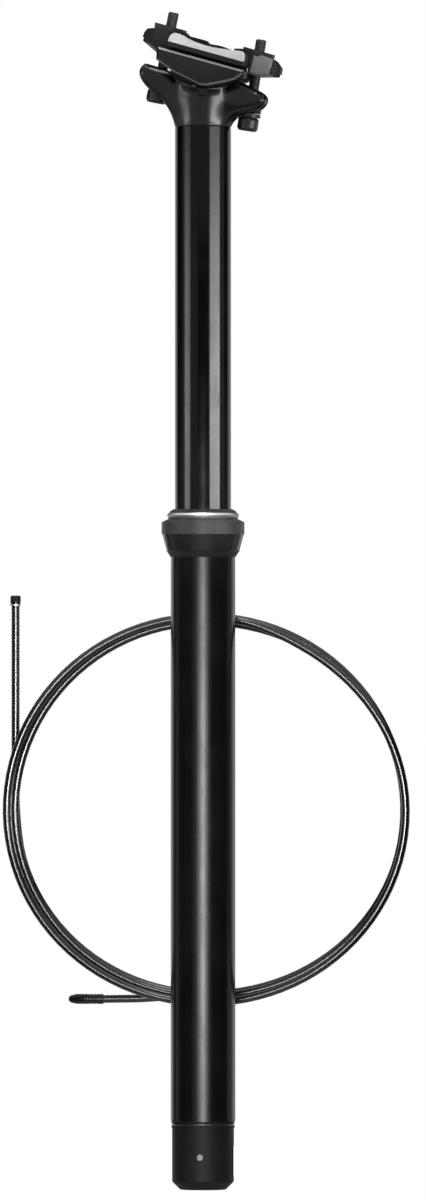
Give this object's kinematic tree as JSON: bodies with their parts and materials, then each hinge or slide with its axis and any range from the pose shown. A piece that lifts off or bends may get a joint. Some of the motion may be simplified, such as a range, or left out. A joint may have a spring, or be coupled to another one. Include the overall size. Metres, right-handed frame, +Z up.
{
  "type": "dropper seatpost",
  "caption": "Telescopic bicycle seatpost with a tilting saddle rail clamp, a cable-worked release at its foot and its coiled cable housing.",
  "frame": {"origin": "on the post's axis at the shoulder under the collar, where the post stops in its seat tube", "axes": "+Z up along the post, +X to the front of the bicycle, +Y to the bicycle's left"},
  "size_m": [0.2014, 0.0669, 0.5766],
  "materials": {
    "post_black": "satin black anodised aluminium, hard coat",
    "stanchion_black": "gloss black hard anodised aluminium",
    "collar_grey": "satin dark grey anodised aluminium",
    "ring_silver": "bright turned aluminium",
    "seal_rubber": "matte black rubber",
    "bushing_plastic": "dark self-lubricating plastic",
    "key_brass": "plain brass",
    "inner_aluminium": "plain drawn aluminium",
    "clamp_black": "satin black anodised aluminium with machined faces",
    "bolt_black": "black steel",
    "washer_steel": "plain steel",
    "rod_steel": "hard chromed steel",
    "piston_aluminium": "turned aluminium",
    "housing_black": "semi-gloss black anodised aluminium",
    "pin_steel": "plain steel",
    "lever_steel": "zinc plated steel",
    "cable_black": "satin black cable housing",
    "cap_black": "black plastic cap"
  },
  "bodies": {
    "lower_post": {"lower_tube": "post_black", "collar": "collar_grey", "collar_ring": "ring_silver", "wiper_seal": "seal_rubber", "upper_bushing": "bushing_plastic", "foot_plug": "inner_aluminium", "foot_ring": "seal_rubber", "rod_nut": "bolt_black", "cartridge_rod": "rod_steel", "main_piston": "piston_aluminium", "piston_seal": "seal_rubber", "actuator_housing": "housing_black", "lever_pin": "pin_steel", "cable_stop": "piston_aluminium"},
    "upper_post": {"upper_tube": "stanchion_black", "saddle_head": "stanchion_black", "cartridge_body": "inner_aluminium", "cartridge_cap": "piston_aluminium", "rod_guide": "piston_aluminium", "lower_bushing": "bushing_plastic", "anti_twist_keys": "key_brass"},
    "floating_piston": {"floating_piston": "piston_aluminium"},
    "saddle_clamp": {"lower_cradle": "clamp_black", "upper_clamp": "clamp_black"},
    "rear_bolt": {"rear_bolt": "bolt_black", "rear_washer": "washer_steel"},
    "front_bolt": {"front_bolt": "bolt_black", "front_washer": "washer_steel"},
    "rear_nut": {"rear_barrel_nut": "bolt_black"},
    "front_nut": {"front_barrel_nut": "bolt_black"},
    "release_lever": {"release_lever": "lever_steel"},
    "cable_barrel": {"cable_barrel": "lever_steel", "cable_grub_screw": "bolt_black"},
    "valve_pin": {"valve_pin": "pin_steel"},
    "cable_coil": {"cable_coil": "cable_black", "cable_lower_tail": "cable_black", "cable_upper_tail": "cable_black", "cable_end_cap": "cap_black", "cable_ferrule": "cap_black"}
  },
  "joints": [
    {"name": "post_slide", "type": "slide", "parent": "lower_post", "child": "upper_post", "axis": [0, 0, 1], "range_m": [-0.17, 0]},
    {"name": "floating_piston_slide", "type": "slide", "parent": "upper_post", "child": "floating_piston", "axis": [0, 0, 1], "range_m": [0, 0.03767]},
    {"name": "saddle_tilt", "type": "hinge", "parent": "upper_post", "child": "saddle_clamp", "pos_m": [0.00396, 0, 0.25876], "axis": [0, 1, 0], "range_deg": [-6, 6]},
    {"name": "rear_bolt_swing", "type": "hinge", "parent": "upper_post", "child": "rear_bolt", "pos_m": [-0.0215, 0, 0.231], "axis": [0, 1, 0], "range_deg": [-0.68, 0.68]},
    {"name": "front_bolt_swing", "type": "hinge", "parent": "upper_post", "child": "front_bolt", "pos_m": [0.023, 0, 0.2173], "axis": [0, 1, 0], "range_deg": [-1.5, 1.5]},
    {"name": "rear_nut_swing", "type": "hinge", "parent": "saddle_clamp", "child": "rear_nut", "pos_m": [-0.01572, 0, 0.25965], "axis": [0, 1, 0], "range_deg": [-6.68, 6.68]},
    {"name": "front_nut_swing", "type": "hinge", "parent": "saddle_clamp", "child": "front_nut", "pos_m": [0.02783, 0, 0.24757], "axis": [0, 1, 0], "range_deg": [-7.5, 7.5]},
    {"name": "release_lever_turn", "type": "hinge", "parent": "lower_post", "child": "release_lever", "pos_m": [0, 0, -0.29353], "axis": [0, 1, 0], "range_deg": [0, 37]},
    {"name": "valve_pin_slide", "type": "slide", "parent": "lower_post", "child": "valve_pin", "axis": [0, 0, 1], "range_m": [0, 0.00172], "stiffness_N_per_m": 150},
    {"name": "cable_barrel_swivel", "type": "hinge", "parent": "release_lever", "child": "cable_barrel", "pos_m": [0.0075, 0, -0.29433], "axis": [0, 1, 0], "range_deg": [-37, 0.5]},
    {"name": "cable_coil_lift", "type": "slide", "parent": "lower_post", "child": "cable_coil", "axis": [0, 1, 0], "range_m": [0, 0.12]}
  ],
  "couplings": [
    {"joint": "floating_piston_slide", "follows": "post_slide", "ratio": -0.22145},
    {"joint": "rear_bolt_swing", "follows": "saddle_tilt", "ratio": -0.105},
    {"joint": "front_bolt_swing", "follows": "saddle_tilt", "ratio": -0.241},
    {"joint": "rear_nut_swing", "follows": "saddle_tilt", "ratio": -1.105},
    {"joint": "front_nut_swing", "follows": "saddle_tilt", "ratio": -1.241},
    {"joint": "release_lever_turn", "follows": "valve_pin_slide", "rad_per_m": 355},
    {"joint": "cable_barrel_swivel", "follows": "valve_pin_slide", "rad_per_m": -355}
  ]
}
